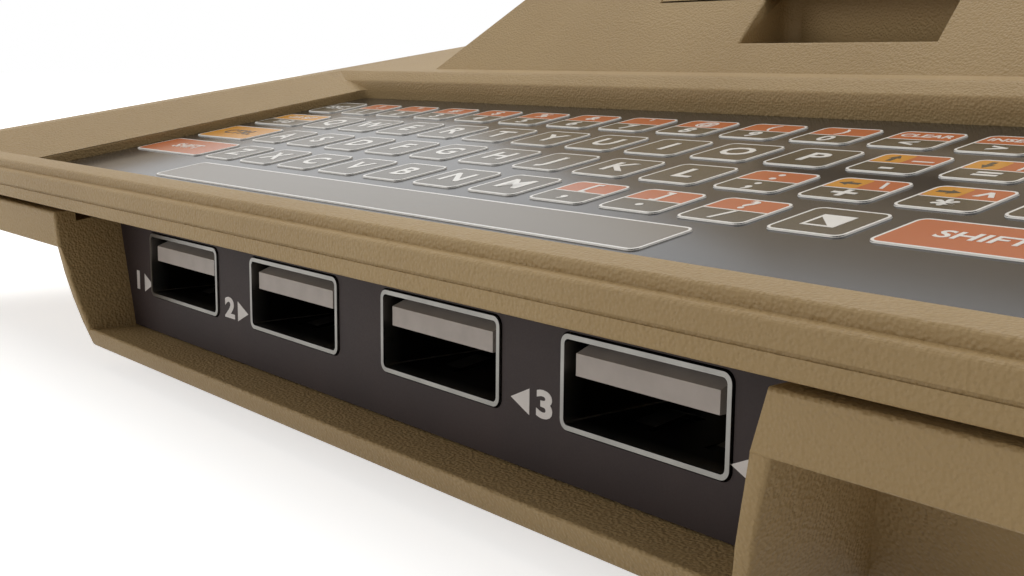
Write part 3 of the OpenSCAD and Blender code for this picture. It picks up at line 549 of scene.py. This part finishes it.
# Matt polyester film: near-black with a brown cast, a fine tooth and hardly any shine
label_film, tree, shader = grained("matt_label_film", "#2E2524", "#382D2B", 0.6, 7, 0.11, 0.006)
shader.inputs["Specular IOR Level"].default_value = 0.25
finish_with(nodes["jack_label"], label_film)
# Screen ink on the film: warm white, matt
label_ink = grained("light_label_ink", "#DAD3CE", "#E6E0DB", 0.5, 2, 0.11, 0.006)[0]
MARK_Y, MARK_Z = -66.26 * MM, 8.1 * MM
DIGIT_SIZE, DIGIT_BOLD, DIGIT_STRETCH = 2.25 * MM, 0.09 * MM, 1.5
HEAD_RADIUS, HEAD_STRETCH = 0.95 * MM, 1.25
DIGIT_OUT, HEAD_OUT = 1.05 * MM, 1.0 * MM  # how far each lies from the mark's middle
upright = Matrix.Rotation(radians(90), 4, "X")
marks = []
# Each mark's number, its place along the front in mm, and which way its arrowhead points
for number, middle, way in (("1", -36.9, 1), ("2", -18.75, 1), ("3", 19.15, -1), ("4", 37.0, -1)):
    bpy.ops.object.select_all(action="DESELECT")
    bpy.ops.object.text_add()
    digit = bpy.context.object
    digit.data.body = number
    digit.data.size = DIGIT_SIZE
    digit.data.align_x, digit.data.align_y = "CENTER", "CENTER"
    digit.data.resolution_u = 4
    digit.data.extrude = 0.01 * MM
    digit.data.offset = DIGIT_BOLD
    digit.data.materials.append(label_ink)
    bpy.ops.object.convert(target="MESH")
    widened = Matrix.Diagonal((DIGIT_STRETCH, 1, 1, 1))
    digit.data.transform(Matrix.Translation((-DIGIT_OUT * way, 0, 0)) @ widened)
    bpy.ops.object.select_all(action="DESELECT")
    bpy.ops.mesh.primitive_cylinder_add(vertices=3, radius=HEAD_RADIUS, depth=0.02 * MM)
    head = bpy.context.object
    bpy.ops.object.mode_set(mode="EDIT")
    bpy.ops.transform.resize(value=(1, HEAD_STRETCH, 1))
    bpy.ops.object.mode_set(mode="OBJECT")
    head.data.materials.append(label_ink)
    pointing = Matrix.Rotation(radians(-90 * way), 4, "Z")
    head.data.transform(Matrix.Translation((HEAD_OUT * way, 0, 0)) @ pointing)
    for mark in (digit, head):
        mark.data.transform(Matrix.Translation((middle * MM, MARK_Y, MARK_Z)) @ upright)
        marks.append(mark)
jack_marks = joined(marks, "jack_marks")
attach(jack_marks, "case")

# ---------------------------------------------------------------------------------------------
# Jacks: shells drawn from nickel-plated steel, tongues moulded in light grey glass-filled nylon,
# contacts of gold-flashed bronze. Inside a shell the plating carries painted shade, dark and dull.

PAINTED_SHADE_FROM, PAINTED_SHADE_TO = 0.12, 1.6  # mm behind the mouth, from no painted shade to full painted shade
TAB_HEIGHT, TAB_BAND = 7.95 * MM, 0.42 * MM  # the lower spring tabs' height, and half of its spread


def plated(name, mouth):
    """Nickel plate with drawing lines; painted shade darkens it behind the mouth's plane, and the spring
    tabs are spared it, left bright as a painted highlight.
    """
    material, tree, shader = grained(name, "#7E7C78", "#8F8D88", 0.3, 2.5, 0.05, 0.003, 1.0, (1, 0.1, 1))
    place = add_node(tree, "ShaderNodeTexCoord")
    axes = add_node(tree, "ShaderNodeSeparateXYZ", None, {0: (place, "Object")})
    # Painted shade: the plating turns dark and dull from the mouth inwards, standing in for the shade inside
    # the shell
    depth = add_node(tree, "ShaderNodeMath", {"operation": "ABSOLUTE"}, {0: (axes, "Y")})
    painted_shade_depth = add_node(tree, "ShaderNodeMapRange",
                      {"From Min": (mouth - PAINTED_SHADE_FROM) * MM, "From Max": (mouth - PAINTED_SHADE_TO) * MM},
                      {0: (depth, 0)})
    # The flat spring tabs are spared the painted shade and stay bright: a painted highlight
    geometry = add_node(tree, "ShaderNodeNewGeometry")
    facing = add_node(tree, "ShaderNodeSeparateXYZ", None, {0: (geometry, "Normal")})
    level = add_node(tree, "ShaderNodeMath", {"operation": "ABSOLUTE"}, {0: (facing, "Z")})
    flat = add_node(tree, "ShaderNodeMath", {"operation": "GREATER_THAN", 1: 0.5}, {0: (level, 0)})
    raised = add_node(tree, "ShaderNodeMath", {"operation": "COMPARE", 1: TAB_HEIGHT, 2: TAB_BAND},
                      {0: (axes, "Z")})
    tab_painted_highlight = add_node(tree, "ShaderNodeMath", {"operation": "MULTIPLY"}, {0: (flat, 0), 1: (raised, 0)})
    dull_and_painted_shade = add_node(tree, "ShaderNodeMath", {"operation": "SUBTRACT", "use_clamp": True},
                    {0: (painted_shade_depth, 0), 1: (tab_painted_highlight, 0)})
    # The painted shade's colour: a dark, dull metal
    painted_shade_metal = add_node(tree, "ShaderNodeBsdfPrincipled",
                    {"Base Color": linear("#1B1917"), "Roughness": 0.45, "Metallic": 1.0})
    both = add_node(tree, "ShaderNodeMixShader", None, {0: (dull_and_painted_shade, 0), 1: (shader, 0), 2: (painted_shade_metal, 0)})
    tree.links.new(both.outputs[0], tree.get_output_node("ALL").inputs[0])
    return material


# Nickel plate on drawn steel: a bright grey rim with lines drawn along the shell, and painted shade inside
# it
front_nickel = plated("nickel_steel_painted_shade", 66.4)
rear_nickel = plated("rear_nickel_steel_painted_shade", 69.0)
# Glass-filled nylon: milky warm grey with a dull sheen
nylon = grained("grey_glass_nylon", "#ADA39B", "#BAB0A8", 0.46, 1.6, 0.07, 0.005)[0]
# Gold flash on bronze: warm and bright, rolled along its length
gold = grained("gold_flashed_bronze", "#C29A42", "#D0AC58", 0.28, 0.8, 0.04, 0.002, 1.0, (1, 0.15, 1))[0]
for name in nodes:
    if name.startswith("usb_shell"):
        finish_with(nodes[name], front_nickel)
    elif name in ("rear_usb_shell", "hdmi_shell", "usb_c_shell"):
        finish_with(nodes[name], rear_nickel)
    elif "usb_tongue" in name or name == "switch_plunger":
        finish_with(nodes[name], nylon)
    elif "contacts" in name:
        finish_with(nodes[name], gold)

# ---------------------------------------------------------------------------------------------
# Boards and what sits on them: glass epoxy under green solder mask with copper tracks beneath,
# moulded packages, an anodised heat sink, a flat cable with its copper strips showing through.

# Solder mask: glossy green lacquer with thin paler lines 0.9 mm apart, where copper tracks lie beneath
solder_mask, tree, shader = grained("green_solder_mask", "#1A5234", "#20603E", 0.3, 6, 0.4, 0.01)
place = add_node(tree, "ShaderNodeTexCoord")
tracks = add_node(tree, "ShaderNodeTexBrick",
                  {"Scale": 1 / MM, "Mortar Size": 0.09, "Brick Width": 5.2, "Row Height": 0.9,
                   "Color1": linear("#1A5234"), "Color2": linear("#1D5A39"), "Mortar": linear("#3A8257")},
                  {"Vector": (place, "Object")})
tree.links.new(tracks.outputs["Color"], shader.inputs["Base Color"])
for name in ("front_board", "main_board"):
    finish_with(nodes[name], solder_mask)
# Moulding epoxy: soft black, slightly grey where the filler shows
epoxy = grained("black_moulded_epoxy", "#161617", "#202122", 0.42, 3, 0.06, 0.006)[0]
for name in ("processor", "memory_chip"):
    finish_with(nodes[name], epoxy)
# Nylon: black with a faint warm cast, half matt
black_nylon = grained("black_moulded_nylon", "#181817", "#232221", 0.5, 5, 0.15, 0.012)[0]
for name in ("hdmi_tongue", "usb_c_tongue", "switch_body", "ribbon_socket_front", "ribbon_socket_rear"):
    finish_with(nodes[name], black_nylon)
# Anodised extrusion: a dark satin metal with fine lines from the die, running front to back
anodised = grained("black_anodised_aluminium", "#232327", "#303036", 0.38, 4, 0.06, 0.005, 0.8,
                   (1, 0.06, 1))[0]
finish_with(nodes["heat_sink"], anodised)
# Casting epoxy: a milky lamp body that lets some light through
lamp_epoxy, tree, shader = grained("milky_lamp_epoxy", "#D2CCBA", "#DDD7C6", 0.28, 1, 0.1, 0.003)
shader.inputs["Transmission Weight"].default_value = 0.35
finish_with(nodes["status_led"], lamp_epoxy)
# Acrylic: clear deep red with a polished face
acrylic, tree, shader = grained("red_acrylic", "#8A1C15", "#97241B", 0.14, 2, 0.2, 0.002)
shader.inputs["Transmission Weight"].default_value = 0.5
finish_with(nodes["light_pipe"], acrylic)
# Laminated film: off-white over copper strips, one to the millimetre
STRIP_WAVE = 314.0  # a wave texture's bands lie 2 pi / (20 * scale) metres apart
cable_film, tree, shader = grained("flat_cable_film", "#D5D1C6", "#DEDBD1", 0.36, 3, 0.3, 0.004)
place = add_node(tree, "ShaderNodeTexCoord")
strips = add_node(tree, "ShaderNodeTexWave", {"bands_direction": "X", "Scale": STRIP_WAVE},
                  {"Vector": (place, "Object")})
copper = add_node(tree, "ShaderNodeValToRGB", None, {0: (strips, 0)}, ((0.45, "#B0895C"), (0.55, "#DBD7CC")))
tree.links.new(copper.outputs[0], shader.inputs["Base Color"])
finish_with(nodes["ribbon_cable"], cable_film)

# ---------------------------------------------------------------------------------------------
# Plate, bay, feet, pin and screws: black plastic inside parts, rubber feet, zinc-plated screws
# and a ground steel hinge pin.

# Moulded ABS: black with a coarse grain, half matt
tub_plastic = grained("black_moulded_abs", "#1B1A19", "#262523", 0.48, 9, 0.22, 0.025)[0]
for name in ("keyboard_backing", "cartridge_bay"):
    finish_with(nodes[name], tub_plastic)
# Rubber: dark grey and dull, so it hardly mirrors anything
rubber = grained("black_foot_rubber", "#242220", "#302D2B", 0.82, 2, 0.12, 0.03)[0]
# Zinc plate: a cool light grey metal; ground steel: warmer and smoother, with lines along the pin
zinc = grained("zinc_plated_screw_steel", "#A5A6A6", "#B8B9B9", 0.34, 0.8, 0.08, 0.006, 1.0)[0]
ground = grained("ground_pin_steel", "#A3A19D", "#B4B2AE", 0.22, 2, 0.06, 0.002, 1.0, (0.05, 1, 1))[0]
for name in nodes:
    if name.startswith("foot_"):
        finish_with(nodes[name], rubber)
    elif name.endswith("screws"):
        finish_with(nodes[name], zinc)
finish_with(nodes["hinge_pin"], ground)
